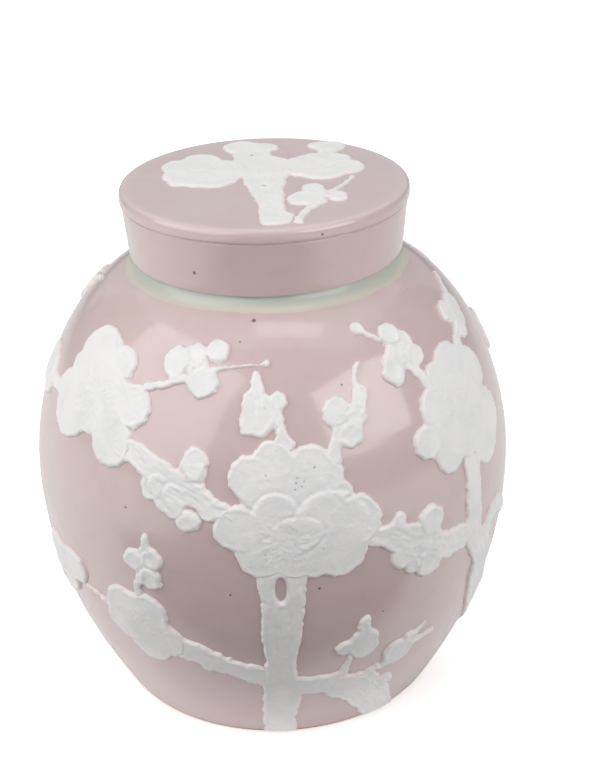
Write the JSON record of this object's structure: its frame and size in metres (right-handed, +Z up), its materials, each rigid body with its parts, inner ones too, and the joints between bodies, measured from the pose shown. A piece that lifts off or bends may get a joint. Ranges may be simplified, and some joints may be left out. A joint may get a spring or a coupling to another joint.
{
  "type": "ginger jar",
  "caption": "Round-bellied ceramic jar on a foot ring, with a loose cap over its short neck and blossom trees of raised slip round the wall and on the cap.",
  "frame": {"origin": "centre of the foot, on the surface the jar stands on", "axes": "+Z up along the jar's axis of turning, -Y towards the front of the jar, +X to the right seen from the front"},
  "size_m": [0.1968, 0.2004, 0.2178],
  "materials": {
    "pink_glaze": "glossy pale pink glaze with a pale celadon band at the neck and a bare clay foot",
    "white_slip": "satin off-white slip with brush marks"
  },
  "bodies": {
    "jar": {"back_centre_blossom": "white_slip", "back_drop_bud": "white_slip", "back_finger_bud": "white_slip", "back_heart_bud": "white_slip", "back_left_blossom": "white_slip", "back_left_branch": "white_slip", "back_low_left_blossom": "white_slip", "back_low_left_branch": "white_slip", "back_outer_left_blossom": "white_slip", "back_outer_low_blossom": "white_slip", "back_outer_right_flower": "white_slip", "back_right_blossom": "white_slip", "back_right_branch": "white_slip", "back_right_trunk": "white_slip", "back_ringed_bud": "white_slip", "back_root": "white_slip", "back_round_bud": "white_slip", "back_side_blossom": "white_slip", "back_side_bud": "white_slip", "back_top_bud": "white_slip", "back_trunk": "white_slip", "back_upper_left_flower": "white_slip", "back_upper_right_flower": "white_slip", "front_centre_blossom": "white_slip", "front_drop_bud": "white_slip", "front_finger_bud": "white_slip", "front_heart_bud": "white_slip", "front_left_blossom": "white_slip", "front_left_branch": "white_slip", "front_low_left_blossom": "white_slip", "front_low_left_branch": "white_slip", "front_outer_left_blossom": "white_slip", "front_outer_low_blossom": "white_slip", "front_outer_right_flower": "white_slip", "front_right_blossom": "white_slip", "front_right_branch": "white_slip", "front_right_trunk": "white_slip", "front_ringed_bud": "white_slip", "front_root": "white_slip", "front_round_bud": "white_slip", "front_side_blossom": "white_slip", "front_side_bud": "white_slip", "front_top_bud": "white_slip", "front_trunk": "white_slip", "front_upper_left_flower": "white_slip", "front_upper_right_flower": "white_slip", "jar_body": "pink_glaze"},
    "cap": {"cap_bud": "white_slip", "cap_left_blossom": "white_slip", "cap_right_blossom": "white_slip", "cap_shell": "pink_glaze", "cap_top_bud": "white_slip", "cap_trunk": "white_slip"}
  },
  "joints": [
    {"name": "cap_lift", "type": "slide", "parent": "jar", "child": "cap", "axis": [0, 0, 1], "range_m": [0, 0.08]}
  ]
}
